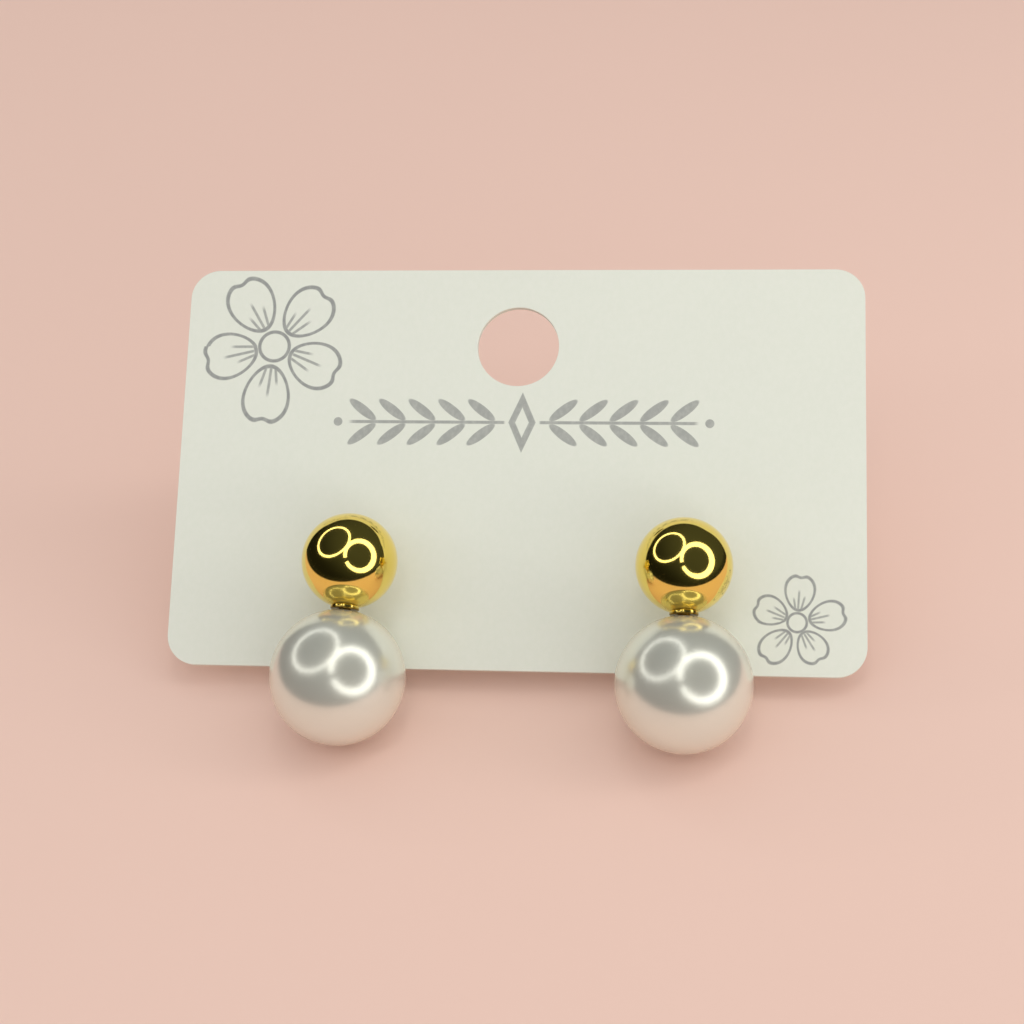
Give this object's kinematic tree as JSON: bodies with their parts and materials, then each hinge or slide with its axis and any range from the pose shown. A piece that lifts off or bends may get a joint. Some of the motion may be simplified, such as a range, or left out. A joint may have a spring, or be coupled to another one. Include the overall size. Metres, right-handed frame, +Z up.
{
  "type": "pair of pearl drop earrings on a display card",
  "caption": "Earrings with a polished ball stud above a larger pearl, pinned through a flat rounded display card with a hang hole, which leans back on pearls and post tips.",
  "frame": {"origin": "middle of the bottom of everything, on the level surface that the pearls and the post tips stand on", "axes": "+X along the card's width, to the right seen from the front; the card's face looks to -Y and up; +Z up"},
  "size_m": [0.05, 0.0318, 0.0211],
  "materials": {
    "card_stock": "matte",
    "gold_plate": "polished",
    "pearl_coat": "gloss"
  },
  "bodies": {
    "root": {"display_card": "card_stock", "ball_stud_left": "gold_plate", "pearl_left": "pearl_coat", "ear_nut_left": "gold_plate", "ball_stud_right": "gold_plate", "pearl_right": "pearl_coat", "ear_nut_right": "gold_plate"}
  },
  "joints": []
}
